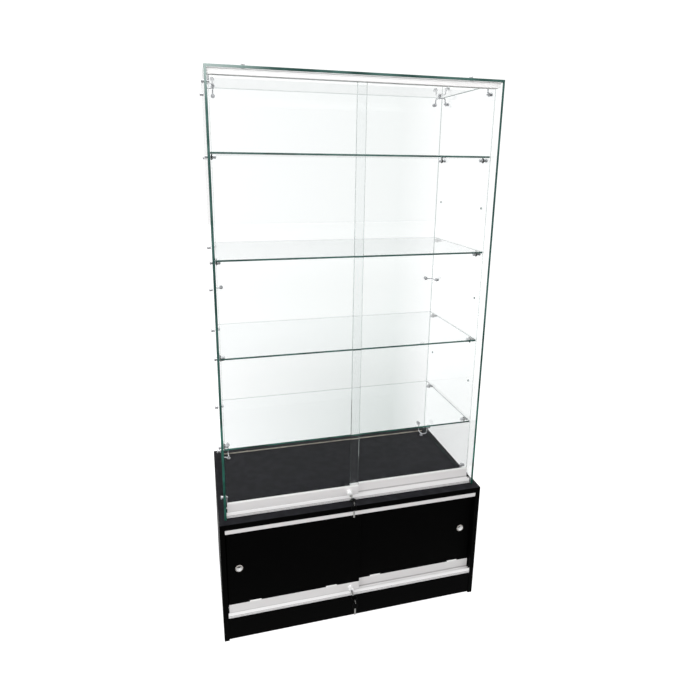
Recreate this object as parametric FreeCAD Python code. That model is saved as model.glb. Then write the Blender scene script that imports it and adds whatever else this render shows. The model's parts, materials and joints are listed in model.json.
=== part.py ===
import FreeCAD, Part
import math
import os

from FreeCAD import Vector

# Upright glass showcase on a black storage base, in millimetres.
# +X is to the right of someone facing the doors, +Y runs to the back, +Z is up, and Z = 0 is the floor.

# Whole case
CASE_WIDTH = 1000.0
CASE_DEPTH = 520.0
CASE_HEIGHT = 1980.0
BASE_HEIGHT = 489.0
DATUM_FORWARD = 36.0  # the origin lies this far in front of the base's centre: mid-depth with the keys in

# Base boards
BOARD = 18.0
DECK_BOARD = 22.0
DOOR_BOARD = 6.0
STORAGE_FLOOR = 98.0
KICK_GAP = 5.0
KICK_RECESS = 1.0
BOARD_ROUND = 0.8

# Glass
PANEL_GLASS = 8.0
SHELF_GLASS = 6.0
DOOR_GLASS = 6.0
GLASS_SIDE_INSET = 20.0
GLASS_FRONT_INSET = 27.0
GLASS_BACK_INSET = 27.0
GLASS_JOINT = 0.5
ARRIS = 0.8
GLASS_HOLE_R = 4.0

# Shelves and the rows of holes that carry them
LOWEST_ROW = 239.0  # above the deck
ROW_PITCH = 166.0
ROW_COUNT = 7
SHELF_EVERY = 2
MID_ROW = 3
FRONT_COLUMN = 84.0  # behind the front edge of the side glass
BACK_COLUMN = 40.0  # in front of the back glass
SHELF_SETBACK = 44.0
SHELF_BACK_GAP = 1.0
SHELF_SIDE_GAP = 2.5
PEG_BARREL_R = 5.6
PEG_BARREL = 4.5
PEG_RING_R = 8.8  # the soft ring that the shelf rests on
PEG_RING = 4.0
PEG_RING_ROUND = 1.0
PEG_KNOB_R = 6.4
PEG_KNOB = 11.5
PEG_ROUND = 3.0
SEAT = 0.05

# Glass bolts and bent-rod connectors
BOLT_WAIST_R = 5.0
BOLT_WAIST = 2.0
BOLT_CAP_R = 6.5
BOLT_CAP = 5.2
BOLT_DOME = 2.4
SHANK_R = 3.0
SHANK_FIT = 0.05
SHANK_GRIP = 3.0
BOSS_R = 7.5
BOSS = 3.2
BOSS_ROUND = 0.8
STEM_R = 3.6
STEM_ROUND = 1.2
ROD_R = 2.5
ROD_STANDOFF = 6.5
ROD_BEND = 8.0
CONNECTOR_ARM = 32.0
CONNECTOR_DROP = 29.0
CONNECTOR_RISE = 38.0
TRACK_BOLT_X = 367.0

# Sliding-door tracks
TRACK_WALL = 2.0
TRACK_FLOOR = 2.0
CHANNEL = 13.0
BOTTOM_TRACK = 21.0
TOP_TRACK = 17.0
MID_WALL_DROP = 5.0
RUN_RIB = 1.6
RUN_RIB_HEIGHT = 3.0
GROOVE_COUNT = 2
GROOVE_PITCH = 4.6
GROOVE_WIDTH = 1.8
GROOVE_DEPTH = 1.0
FRONT_LEAN = 1.2  # how far the upper half of a track's front leans back
CASE_TRACK_SETBACK = 12.0
BASE_TRACK_SETBACK = 1.0
TRACK_END_GAP = 0.6
GUIDE_ROOF = 1.5
GUIDE_FIT = 0.5

# Door rails, which carry the panels on grooved rollers
RAIL_WIDTH = 11.0
RAIL_WALL = 1.5
RAIL_WEB = 1.5
RAIL_BOTTOM = 6.5
RAIL_TOP = 54.0
ROLLER_WEB = 24.0  # underside of the web over the rollers
PANEL_SLOT = 9.0
RAIL_BEVEL = 0.6
STRIP = 1.0
STRIP_LIP = 1.5
CLIP_LENGTH = 42.0
CLIP_LIP = 3.5
CLIP_PLACES = {"left": (96.0, 382.0), "right": (97.0, 424.0)}  # from the door's left end
DOOR_END_GAP = 4.0
DOOR_OVERLAP = 28.0
DOOR_TOP_ROOM = 6.0

# Rollers and their carriers
ROLLER_INSET = 60.0
ROLLER_R = 7.5
ROLLER_GROOVE_R = 6.0
ROLLER_WIDTH = 4.0
ROLLER_GROOVE = 2.4
ROLLER_LIFT = 0.3
ROLLER_SIDE_GAP = 0.3
AXLE_R = 1.5
AXLE_FIT = 0.05
CARRIER_LENGTH = 40.0
CARRIER_FIT = 0.1
CARRIER_BELOW_AXLE = 3.5
CARRIER_ROLLER_ROOM = 1.5

# Finger pulls in the lower doors
PULL_FROM_END = 41.0
PULL_HEIGHT = 202.0  # above the storage floor
PULL_FLANGE_R = 14.0
PULL_FLANGE = 1.2
PULL_CUP_R = 11.5
PULL_WALL = 1.0
PULL_DEPTH = 7.0
PULL_FIT = 0.1

# Push locks on the left doors' rails
LOCK_FROM_END = 36.0
LOCK_HEIGHT = 34.5  # above the underside of the bottom track
HOUSING_R = 9.5
HOUSING_LENGTH = 18.0
SLEEVE_R = 6.8
SLEEVE_FIT = 0.1
SLEEVE_END_GAP = 0.2
PLUNGER_R = 5.0
PLUNGER_OUT = 10.0
PLUNGER_HEEL = 6.0  # the barrel's back end, in front of the rail
LOCK_TRAVEL = 9.0
LOCK_STOP_ROOM = 1.0
LOCK_BOLT_R = 3.3
LOCK_BOLT_INSET = 0.5
LOCK_FIT = 0.3
CORE_R = 3.5
CORE_LENGTH = 14.0
LOCK_ROUND = 0.8

# Keys, with round plastic bows that end in a thin eyelet, and the split ring that joins them
KEY_BLADE = 29.0
KEY_BLADE_WIDTH = 6.0
KEY_BLADE_THICK = 1.6
KEY_INSERTED = 13.0
KEY_FIT = 0.1
KEY_POINT = 2.0
BOW_R = 11.0
BOW_THICK = 4.6
BOW_ROUND = 1.2
EYELET_REACH = 4.0  # beyond the bow
EYELET_BAR = 2.0
EYELET_HOLE_WIDTH = 8.0
EYELET_HOLE_LENGTH = 7.0
RING_R = 6.5
RING_WIRE_R = 0.6
RING_SLACK = 0.95
SPARE_SLACK = 0.2

# Places worked out from the sizes above
FRONT = DATUM_FORWARD - CASE_DEPTH / 2
BACK = FRONT + CASE_DEPTH
BASE_HALF = CASE_WIDTH / 2
BASE_INNER = BASE_HALF - BOARD
DECK_UNDER = BASE_HEIGHT - DECK_BOARD
GLASS_OUTER = BASE_HALF - GLASS_SIDE_INSET
GLASS_INNER = GLASS_OUTER - PANEL_GLASS
GLASS_FRONT = FRONT + GLASS_FRONT_INSET
GLASS_BACK = BACK - GLASS_BACK_INSET
BACK_INNER = GLASS_BACK - PANEL_GLASS
TOP_UNDER = CASE_HEIGHT - PANEL_GLASS
FRONT_COLUMN_Y = GLASS_FRONT + FRONT_COLUMN
BACK_COLUMN_Y = BACK_INNER - BACK_COLUMN
CONNECTOR_X = GLASS_INNER - CONNECTOR_ARM
CONNECTOR_TOP = TOP_UNDER - CONNECTOR_DROP
CONNECTOR_BOTTOM = BASE_HEIGHT + CONNECTOR_RISE
ROWS = [BASE_HEIGHT + LOWEST_ROW + i * ROW_PITCH for i in range(ROW_COUNT)]
SHELF_ROWS = ROWS[::SHELF_EVERY]
TRACK_DEPTH = 2 * CHANNEL + 3 * TRACK_WALL
TRACK_PITCH = CHANNEL + TRACK_WALL
CASE_TRACK_Y = GLASS_FRONT + CASE_TRACK_SETBACK
BASE_TRACK_Y = FRONT + BASE_TRACK_SETBACK
SLOT_WIDTH = RAIL_WIDTH - 2 * RAIL_WALL
SLOT_FLOOR = RAIL_TOP - PANEL_SLOT
CHAMBER_TOP = SLOT_FLOOR - RAIL_WEB
CHAMBER_FLOOR = ROLLER_WEB + RAIL_WEB
ROLLER_AXIS = TRACK_FLOOR + RUN_RIB_HEIGHT + ROLLER_LIFT + ROLLER_GROOVE_R

X_AXIS = Vector(1, 0, 0)
Y_AXIS = Vector(0, 1, 0)
Z_AXIS = Vector(0, 0, 1)
SIDES = (-1, 1)


def block(x0, x1, y0, y1, z0, z1):
    return Part.makeBox(x1 - x0, y1 - y0, z1 - z0, Vector(x0, y0, z0))


def board(x0, x1, y0, y1, z0, z1):
    solid = block(x0, x1, y0, y1, z0, z1)
    return solid.makeFillet(BOARD_ROUND, solid.Edges)


def sheet_of_glass(x0, x1, y0, y1, z0, z1):
    solid = block(x0, x1, y0, y1, z0, z1)
    return solid.makeChamfer(ARRIS, solid.Edges)


def rod(start, axis, radius, length):
    return Part.makeCylinder(radius, length, start, axis)


def extrude_along_x(outline, x0, x1):
    """A closed outline of (y, z) points, run from x0 to x1."""
    points = [Vector(x0, y, z) for y, z in outline]
    face = Part.Face(Part.makePolygon(points + points[:1]))
    return face.extrude(X_AXIS * (x1 - x0))


def turned(profile, start, axis):
    """A solid of revolution: (distance along the axis, radius) points, placed at start along axis."""
    points = [Vector(radius, 0, along) for along, radius in profile]
    face = Part.Face(Part.makePolygon(points + points[:1]))
    solid = face.revolve(Vector(0, 0, 0), Z_AXIS, 360)
    solid.Placement = FreeCAD.Placement(start, FreeCAD.Rotation(Z_AXIS, axis))
    return solid


def bent_rod(points, radius, bend):
    """A round rod along straight runs, with a tangent arc of the bend radius at each right-angled corner."""
    edges = []
    start = points[0]
    for before, corner, after in zip(points, points[1:], points[2:]):
        back = (before - corner).normalize()
        ahead = (after - corner).normalize()
        enter = corner + back * bend
        leave = corner + ahead * bend
        middle = corner + (back + ahead) * bend * (1 - math.sqrt(0.5))
        edges.append(Part.LineSegment(start, enter).toShape())
        edges.append(Part.Arc(enter, middle, leave).toShape())
        start = leave
    edges.append(Part.LineSegment(start, points[-1]).toShape())
    first_run = (points[1] - points[0]).normalize()
    profile = Part.Wire(Part.makeCircle(radius, points[0], first_run))
    return Part.Wire(edges).makePipeShell([profile], True, False)


def drilled(solid, places, axis, depth, radius):
    holes = [rod(place, axis, radius, depth) for place in places]
    return solid.cut(Part.makeCompound(holes))


def save(name, *solids):
    shape = solids[0] if len(solids) == 1 else Part.makeCompound(list(solids))
    shape.exportStep("parts/" + name + ".step")


# Base of black board
def base_boards():
    floor_under = STORAGE_FLOOR - BOARD
    save("base_deck", board(-BASE_HALF, BASE_HALF, FRONT, BACK, DECK_UNDER, BASE_HEIGHT))
    save("base_side_left", board(-BASE_HALF, -BASE_INNER, FRONT, BACK, 0, DECK_UNDER))
    save("base_side_right", board(BASE_INNER, BASE_HALF, FRONT, BACK, 0, DECK_UNDER))
    back_face = BACK - BOARD
    save("base_back", board(-BASE_INNER, BASE_INNER, back_face, BACK, KICK_GAP, DECK_UNDER))
    save("base_bottom", board(-BASE_INNER, BASE_INNER, BASE_TRACK_Y, back_face, floor_under, STORAGE_FLOOR))
    kick_front = BASE_TRACK_Y + KICK_RECESS
    save("kickboard", board(-BASE_INNER, BASE_INNER, kick_front, kick_front + BOARD, KICK_GAP, floor_under))


# Glass panels, drilled for the bolts
def connector_places_on_side():
    """The (y, z) of every connector bolt in a side glass."""
    corners = [(y, z) for y in (FRONT_COLUMN_Y, BACK_COLUMN_Y) for z in (CONNECTOR_BOTTOM, CONNECTOR_TOP)]
    return corners + [(BACK_COLUMN_Y, ROWS[MID_ROW])]


def side_glass(side):
    near, far = sorted((side * GLASS_INNER, side * GLASS_OUTER))
    panel = sheet_of_glass(near, far, GLASS_FRONT, GLASS_BACK, BASE_HEIGHT, TOP_UNDER)
    rows = [(y, z) for z in ROWS for y in (FRONT_COLUMN_Y, BACK_COLUMN_Y)]
    holes = sorted(set(rows + connector_places_on_side()))
    places = [Vector(near, y, z) for y, z in holes]
    return drilled(panel, places, X_AXIS, PANEL_GLASS, GLASS_HOLE_R)


def back_glass():
    half = GLASS_INNER - GLASS_JOINT
    panel = sheet_of_glass(-half, half, BACK_INNER, GLASS_BACK, BASE_HEIGHT, TOP_UNDER)
    heights = (CONNECTOR_BOTTOM, ROWS[MID_ROW], CONNECTOR_TOP)
    places = [Vector(side * CONNECTOR_X, BACK_INNER, z) for side in SIDES for z in heights]
    return drilled(panel, places, Y_AXIS, PANEL_GLASS, GLASS_HOLE_R)


def top_bolt_places():
    track_y = CASE_TRACK_Y + TRACK_WALL + CHANNEL / 2
    spots = [(CONNECTOR_X, FRONT_COLUMN_Y), (CONNECTOR_X, BACK_COLUMN_Y), (TRACK_BOLT_X, track_y)]
    return [(side * x, y) for side in SIDES for x, y in spots]


def top_glass():
    panel = sheet_of_glass(-GLASS_OUTER, GLASS_OUTER, GLASS_FRONT, GLASS_BACK, TOP_UNDER, CASE_HEIGHT)
    places = [Vector(x, y, TOP_UNDER) for x, y in top_bolt_places()]
    return drilled(panel, places, Z_AXIS, PANEL_GLASS, GLASS_HOLE_R)


def shelf(row):
    under = row + PEG_RING_R + SEAT
    half = GLASS_INNER - SHELF_SIDE_GAP
    front = GLASS_FRONT + SHELF_SETBACK
    return sheet_of_glass(-half, half, front, BACK_INNER - SHELF_BACK_GAP, under, under + SHELF_GLASS)


def glass_panels():
    save("glass_side_left", side_glass(-1))
    save("glass_side_right", side_glass(1))
    save("glass_back", back_glass())
    save("glass_top", top_glass())
    for number, row in enumerate(reversed(SHELF_ROWS), start=1):
        save("glass_shelf_%d" % number, shelf(row))


# Bolts through the glass
def rounded_end(solid, centre, radius):
    rim = [edge for edge in solid.Edges if edge.CenterOfMass.isEqual(centre, 0.001)]
    return solid.makeFillet(radius, rim)


def domed_cap(start, outward):
    """A cap on a short waist."""
    tip = BOLT_WAIST + BOLT_CAP
    profile = [
        (0, 0),
        (0, BOLT_WAIST_R),
        (BOLT_WAIST, BOLT_WAIST_R),
        (BOLT_WAIST, BOLT_CAP_R),
        (tip, BOLT_CAP_R),
        (tip, 0),
    ]
    return rounded_end(turned(profile, start, outward), start + outward * tip, BOLT_DOME)


def glass_bolt(outer_face, outward, grip):
    """A domed cap on the outer face of a panel, with a shank that reaches grip past its inner face."""
    shank = rod(outer_face, outward * -1, SHANK_R, PANEL_GLASS + grip)
    return domed_cap(outer_face, outward).fuse(shank).removeSplitter()


def glass_bolts():
    bolts = []
    for side in SIDES:
        outward = X_AXIS * side
        for y, z in connector_places_on_side():
            bolts.append(glass_bolt(Vector(side * GLASS_OUTER, y, z), outward, SHANK_GRIP))
        for z in (CONNECTOR_BOTTOM, ROWS[MID_ROW], CONNECTOR_TOP):
            bolts.append(glass_bolt(Vector(side * CONNECTOR_X, GLASS_BACK, z), Y_AXIS, SHANK_GRIP))
    for x, y in top_bolt_places():
        grip = TRACK_FLOOR if abs(x) == TRACK_BOLT_X else SHANK_GRIP
        bolts.append(glass_bolt(Vector(x, y, CASE_HEIGHT), Z_AXIS, grip))
    save("glass_bolts", *bolts)


def shelf_peg(seat, inward):
    """A barrel, the ring that carries the shelf, a round-ended knob, and a shank through the glass."""
    ring_end = PEG_BARREL + PEG_RING
    tip = ring_end + PEG_KNOB
    ring_low = PEG_RING_R - PEG_RING_ROUND
    profile = [
        (-PANEL_GLASS, 0),
        (-PANEL_GLASS, SHANK_R),
        (0, SHANK_R),
        (0, PEG_BARREL_R),
        (PEG_BARREL, PEG_BARREL_R),
        (PEG_BARREL, ring_low),
        (PEG_BARREL + PEG_RING_ROUND, PEG_RING_R),
        (ring_end - PEG_RING_ROUND, PEG_RING_R),
        (ring_end, ring_low),
        (ring_end, PEG_KNOB_R),
        (tip, PEG_KNOB_R),
        (tip, 0),
    ]
    return rounded_end(turned(profile, seat, inward), seat + inward * tip, PEG_ROUND)


def shelf_studs():
    """A turned peg inside the glass, with a domed cap screwed on outside."""
    solids = []
    for side in SIDES:
        outward = X_AXIS * side
        for y in (FRONT_COLUMN_Y, BACK_COLUMN_Y):
            for row in SHELF_ROWS:
                solids.append(shelf_peg(Vector(side * GLASS_INNER, y, row), outward * -1))
                solids.append(domed_cap(Vector(side * GLASS_OUTER, y, row), outward))
    save("shelf_studs", *solids)


# Bent-rod connectors that hold the panels to each other and to the deck
def boss(seat, inward):
    """A disc on a panel's face, with a round-ended stem that takes the rod."""
    disc = rounded_end(rod(seat, inward, BOSS_R, BOSS), seat + inward * BOSS, BOSS_ROUND)
    length = ROD_STANDOFF + STEM_R
    stem = rounded_end(rod(seat, inward, STEM_R, length), seat + inward * length, STEM_ROUND)
    return disc.fuse(stem)


def connector(routes, seats):
    """Rods along the routes, fused with the bosses, and bored where a glass bolt enters."""
    solid = boss(*seats[0][:2])
    for seat, inward, bolted in seats[1:]:
        solid = solid.fuse(boss(seat, inward))
    for route in routes:
        solid = solid.fuse(bent_rod(route, ROD_R, ROD_BEND))
    for seat, inward, bolted in seats:
        if bolted:
            solid = solid.cut(rod(seat, inward, SHANK_R + SHANK_FIT, SHANK_GRIP + SHANK_FIT))
    return solid.removeSplitter()


def corner_points(side, column_y, level, inward_z):
    """Where the rod runs: along the side glass, and along the top or the deck at level."""
    run_x = side * (GLASS_INNER - ROD_STANDOFF)
    run_z = level + inward_z * ROD_STANDOFF
    seat_z = CONNECTOR_TOP if inward_z < 0 else CONNECTOR_BOTTOM
    at_side = Vector(run_x, column_y, seat_z)
    corner = Vector(run_x, column_y, run_z)
    at_level = Vector(side * CONNECTOR_X, column_y, run_z)
    return at_side, corner, at_level


def two_way_connector(side, level, inward_z):
    at_side, corner, at_level = corner_points(side, FRONT_COLUMN_Y, level, inward_z)
    seats = [
        (Vector(side * GLASS_INNER, FRONT_COLUMN_Y, at_side.z), X_AXIS * -side, True),
        (Vector(side * CONNECTOR_X, FRONT_COLUMN_Y, level), Z_AXIS * inward_z, inward_z < 0),
    ]
    return connector([[at_side, corner, at_level]], seats)


def three_way_connector(side, level, inward_z):
    at_side, corner, at_level = corner_points(side, BACK_COLUMN_Y, level, inward_z)
    run_y = BACK_INNER - ROD_STANDOFF
    at_back = Vector(side * CONNECTOR_X, run_y, at_side.z)
    back_corner = Vector(side * CONNECTOR_X, run_y, at_level.z)
    seats = [
        (Vector(side * GLASS_INNER, BACK_COLUMN_Y, at_side.z), X_AXIS * -side, True),
        (Vector(side * CONNECTOR_X, BACK_COLUMN_Y, level), Z_AXIS * inward_z, inward_z < 0),
        (Vector(side * CONNECTOR_X, BACK_INNER, at_side.z), Y_AXIS * -1, True),
    ]
    return connector([[at_side, corner, at_level], [at_back, back_corner, at_level]], seats)


def mid_connector(side):
    z = ROWS[MID_ROW]
    run_x = side * (GLASS_INNER - ROD_STANDOFF)
    run_y = BACK_INNER - ROD_STANDOFF
    route = [Vector(side * CONNECTOR_X, run_y, z), Vector(run_x, run_y, z), Vector(run_x, BACK_COLUMN_Y, z)]
    seats = [
        (Vector(side * GLASS_INNER, BACK_COLUMN_Y, z), X_AXIS * -side, True),
        (Vector(side * CONNECTOR_X, BACK_INNER, z), Y_AXIS * -1, True),
    ]
    return connector([route], seats)


def connectors():
    solids = []
    for side in SIDES:
        solids.append(mid_connector(side))
        for level, inward_z in ((TOP_UNDER, -1), (BASE_HEIGHT, 1)):
            solids.append(two_way_connector(side, level, inward_z))
            solids.append(three_way_connector(side, level, inward_z))
    save("connector_rods", *solids)


# Tracks
def track_outline(height, ribbed):
    """Two channels between three walls, as (depth, height) points from the front foot."""
    outline = [(0, 0)]
    first = (height / 2 - (GROOVE_COUNT - 1) * GROOVE_PITCH) / 2
    for i in range(GROOVE_COUNT):
        low = first + i * GROOVE_PITCH - GROOVE_WIDTH / 2
        high = low + GROOVE_WIDTH
        outline += [(0, low), (GROOVE_DEPTH, low), (GROOVE_DEPTH, high), (0, high)]
    outline += [(0, height / 2), (FRONT_LEAN, height), (TRACK_WALL, height), (TRACK_WALL, TRACK_FLOOR)]
    for channel, wall_height in enumerate((height - MID_WALL_DROP, height)):
        centre = TRACK_WALL + CHANNEL / 2 + channel * TRACK_PITCH
        wall = centre + CHANNEL / 2
        if ribbed:
            left, right = centre - RUN_RIB / 2, centre + RUN_RIB / 2
            rib_top = TRACK_FLOOR + RUN_RIB_HEIGHT
            outline += [(left, TRACK_FLOOR), (left, rib_top), (right, rib_top), (right, TRACK_FLOOR)]
        outline += [(wall, TRACK_FLOOR), (wall, wall_height), (wall + TRACK_WALL, wall_height)]
        if channel == 0:
            outline.append((wall + TRACK_WALL, TRACK_FLOOR))
    outline.append((TRACK_DEPTH, 0))
    return outline


def bottom_track(half, front, level):
    outline = [(front + y, level + z) for y, z in track_outline(BOTTOM_TRACK, True)]
    return extrude_along_x(outline, -half, half)


def top_track(half, front, level, height):
    outline = [(front + y, level - z) for y, z in track_outline(height, False)]
    return extrude_along_x(outline, -half, half)


def guides(half, front, level, height, panel):
    """The plastic channels that line a top track and steady the tops of its two doors."""
    solids = []
    gap = panel / 2 + GUIDE_FIT
    roof = level - TRACK_FLOOR
    for channel in (0, 1):
        centre = front + TRACK_WALL + CHANNEL / 2 + channel * TRACK_PITCH
        foot = level - height + (MID_WALL_DROP if channel == 0 else 0)
        near, far = centre - CHANNEL / 2, centre + CHANNEL / 2
        outline = [
            (near, roof),
            (far, roof),
            (far, foot),
            (centre + gap, foot),
            (centre + gap, roof - GUIDE_ROOF),
            (centre - gap, roof - GUIDE_ROOF),
            (centre - gap, foot),
            (near, foot),
        ]
        solids.append(extrude_along_x(outline, -half, half))
    return solids


def tracks():
    case_half = GLASS_INNER - TRACK_END_GAP
    base_half = BASE_INNER - TRACK_END_GAP
    bolts = [Vector(x, y, TOP_UNDER) for x, y in top_bolt_places() if abs(x) == TRACK_BOLT_X]
    depth = TRACK_FLOOR + GUIDE_ROOF
    bore = SHANK_R + SHANK_FIT
    hung = top_track(case_half, CASE_TRACK_Y, TOP_UNDER, TOP_TRACK)
    lining = guides(case_half, CASE_TRACK_Y, TOP_UNDER, TOP_TRACK, DOOR_GLASS)
    lining = [drilled(guide, bolts, Z_AXIS * -1, depth, bore) for guide in lining]
    lining += guides(base_half, BASE_TRACK_Y, DECK_UNDER, TOP_TRACK, DOOR_BOARD)
    save("case_bottom_track", bottom_track(case_half, CASE_TRACK_Y, BASE_HEIGHT))
    save("case_top_track", drilled(hung, bolts, Z_AXIS * -1, depth, bore))
    save("base_bottom_track", bottom_track(base_half, BASE_TRACK_Y, STORAGE_FLOOR))
    save("base_top_track", top_track(base_half, BASE_TRACK_Y, DECK_UNDER, TOP_TRACK))
    save("track_guides", *lining)


# Sliding doors
class Door:
    """Where one door's pieces lie: left doors run in the front channel, right doors in the rear one."""

    def __init__(self, storey, hand):
        self.name = storey + "_" + hand
        self.hand = hand
        upper = storey == "upper"
        inner = GLASS_INNER if upper else BASE_INNER
        self.length = inner - DOOR_END_GAP + DOOR_OVERLAP / 2
        self.x0 = DOOR_END_GAP - inner if hand == "left" else -DOOR_OVERLAP / 2
        self.x1 = self.x0 + self.length
        self.level = BASE_HEIGHT if upper else STORAGE_FLOOR
        ceiling = TOP_UNDER if upper else DECK_UNDER
        self.panel_top = ceiling - TRACK_FLOOR - GUIDE_ROOF - DOOR_TOP_ROOM
        track_y = CASE_TRACK_Y if upper else BASE_TRACK_Y
        channel = 0 if hand == "left" else 1
        self.y = track_y + TRACK_WALL + CHANNEL / 2 + channel * TRACK_PITCH
        self.slot_front = self.y - SLOT_WIDTH / 2
        self.slot_back = self.y + SLOT_WIDTH / 2
        self.slot_floor = self.level + SLOT_FLOOR
        self.rail_top = self.level + RAIL_TOP
        self.roller_x = (self.x0 + ROLLER_INSET, self.x1 - ROLLER_INSET)
        self.roller_z = self.level + ROLLER_AXIS
        self.lock_x = self.x1 - LOCK_FROM_END
        self.lock_z = self.level + LOCK_HEIGHT
        self.rail_front = self.y - RAIL_WIDTH / 2
        self.rail_back = self.y + RAIL_WIDTH / 2
        self.panel_thick = DOOR_GLASS if upper else DOOR_BOARD
        self.panel_front = self.y - self.panel_thick / 2
        self.panel_back = self.y + self.panel_thick / 2
        pull_x = self.x0 + PULL_FROM_END if hand == "left" else self.x1 - PULL_FROM_END
        self.pull = Vector(pull_x, self.panel_front, self.level + PULL_HEIGHT)


def rail(door):
    outer = RAIL_WIDTH / 2
    inner = SLOT_WIDTH / 2
    half = [
        (outer, RAIL_BOTTOM),
        (outer, RAIL_TOP - RAIL_BEVEL),
        (outer - RAIL_BEVEL, RAIL_TOP),
        (inner, RAIL_TOP),
        (inner, SLOT_FLOOR),
    ]
    foot = [(-inner, RAIL_BOTTOM), (-inner, ROLLER_WEB), (inner, ROLLER_WEB), (inner, RAIL_BOTTOM)]
    outline = half + [(-y, z) for y, z in reversed(half)] + foot
    placed = [(door.y + y, door.level + z) for y, z in outline]
    solid = extrude_along_x(placed, door.x0, door.x1)
    low, high = door.level + CHAMBER_FLOOR, door.level + CHAMBER_TOP
    solid = solid.cut(block(door.x0, door.x1, door.slot_front, door.slot_back, low, high))
    if door.hand == "left":
        front = Vector(door.lock_x, door.rail_front, door.lock_z)
        back = Vector(door.lock_x, door.slot_back, door.lock_z)
        solid = solid.cut(rod(front, Y_AXIS, SLEEVE_R + SLEEVE_FIT, RAIL_WALL))
        solid = solid.cut(rod(back, Y_AXIS, LOCK_BOLT_R + LOCK_FIT, RAIL_WALL))
    return solid


def roller(door, x):
    half = ROLLER_WIDTH / 2
    groove = ROLLER_GROOVE / 2
    bore = AXLE_R + AXLE_FIT
    profile = [
        (-half, bore),
        (-half, ROLLER_R),
        (-groove, ROLLER_R),
        (-groove, ROLLER_GROOVE_R),
        (groove, ROLLER_GROOVE_R),
        (groove, ROLLER_R),
        (half, ROLLER_R),
        (half, bore),
    ]
    return turned(profile, Vector(x, door.y, door.roller_z), Y_AXIS)


def carrier(door, x):
    """A saddle under the rail's web: a block with two cheeks, and the axle fixed across them."""
    half_width = SLOT_WIDTH / 2 - CARRIER_FIT
    half_gap = ROLLER_WIDTH / 2 + ROLLER_SIDE_GAP
    low = door.roller_z - CARRIER_BELOW_AXLE
    fork_top = door.roller_z + ROLLER_R + CARRIER_ROLLER_ROOM
    x0, x1 = x - CARRIER_LENGTH / 2, x + CARRIER_LENGTH / 2
    saddle = block(x0, x1, door.y - half_width, door.y + half_width, low, door.level + ROLLER_WEB)
    saddle = saddle.cut(block(x0, x1, door.y - half_gap, door.y + half_gap, low, fork_top))
    axle = rod(Vector(x, door.y - half_width, door.roller_z), Y_AXIS, AXLE_R, 2 * half_width)
    return saddle.fuse(axle).removeSplitter()


def running_gear(door):
    save(door.name + "_rail", rail(door))
    save(door.name + "_carriers", *[carrier(door, x) for x in door.roller_x])
    for letter, x in zip("ab", door.roller_x):
        save(door.name + "_roller_" + letter, roller(door, x))


def lining(door, x0, x1, lip):
    """A plastic channel between the panel's foot and the rail's slot, standing lip above the rail."""
    foot = door.slot_floor + STRIP
    top = door.rail_top + lip
    outline = [
        (door.slot_front, door.slot_floor),
        (door.slot_front, top),
        (door.panel_front, top),
        (door.panel_front, foot),
        (door.panel_back, foot),
        (door.panel_back, top),
        (door.slot_back, top),
        (door.slot_back, door.slot_floor),
    ]
    return extrude_along_x(outline, x0, x1)


def panel_box(door):
    return (door.x0, door.x1, door.panel_front, door.panel_back, door.slot_floor + STRIP, door.panel_top)


def glass_door(door):
    running_gear(door)
    save(door.name + "_strip", lining(door, door.x0, door.x1, STRIP_LIP))
    save(door.name + "_glass", sheet_of_glass(*panel_box(door)))


def finger_pull(door):
    """A pressed cup sunk in the board, with a flange on its face."""
    profile = [
        (-PULL_FLANGE, PULL_FLANGE_R - PULL_FLANGE),
        (0, PULL_FLANGE_R),
        (0, PULL_CUP_R),
        (PULL_DEPTH, PULL_CUP_R),
        (PULL_DEPTH, 0),
        (PULL_DEPTH - PULL_WALL, 0),
        (PULL_DEPTH - PULL_WALL, PULL_CUP_R - PULL_WALL),
        (-PULL_FLANGE, PULL_CUP_R - PULL_WALL),
    ]
    return turned(profile, door.pull, Y_AXIS)


def board_door(door):
    running_gear(door)
    hole = rod(door.pull, Y_AXIS, PULL_CUP_R + PULL_FIT, DOOR_BOARD)
    save(door.name + "_panel", board(*panel_box(door)).cut(hole))
    save(door.name + "_pull", finger_pull(door))
    starts = [door.x0 + place - CLIP_LENGTH / 2 for place in CLIP_PLACES[door.hand]]
    save(door.name + "_clips", *[lining(door, x, x + CLIP_LENGTH, CLIP_LIP) for x in starts])


# Locks and keys
def lock_housing(face):
    """A turned barrel on the rail's face, with a sleeve inside the rail that guides the bolt."""
    bore = PLUNGER_R + LOCK_FIT
    bolt_bore = LOCK_BOLT_R + LOCK_FIT
    tail = SLEEVE_END_GAP + RAIL_WALL - RAIL_WIDTH
    floor = PLUNGER_HEEL - LOCK_TRAVEL - LOCK_STOP_ROOM
    profile = [
        (tail, bolt_bore),
        (tail, SLEEVE_R),
        (0, SLEEVE_R),
        (0, HOUSING_R),
        (HOUSING_LENGTH - LOCK_ROUND, HOUSING_R),
        (HOUSING_LENGTH, HOUSING_R - LOCK_ROUND),
        (HOUSING_LENGTH, bore),
        (floor, bore),
        (floor, bolt_bore),
    ]
    return turned(profile, face, Y_AXIS * -1)


def lock_plunger(face):
    """The barrel that is pushed in, with the bolt that then stands out behind the rail."""
    nose = HOUSING_LENGTH + PLUNGER_OUT
    tail = LOCK_BOLT_INSET - RAIL_WIDTH
    bore = CORE_R + LOCK_FIT
    pocket = nose - CORE_LENGTH - LOCK_FIT
    profile = [
        (tail, 0),
        (tail, LOCK_BOLT_R),
        (PLUNGER_HEEL, LOCK_BOLT_R),
        (PLUNGER_HEEL, PLUNGER_R),
        (nose - LOCK_ROUND, PLUNGER_R),
        (nose, PLUNGER_R - LOCK_ROUND),
        (nose, bore),
        (pocket, bore),
        (pocket, 0),
    ]
    return turned(profile, face, Y_AXIS * -1)


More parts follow.
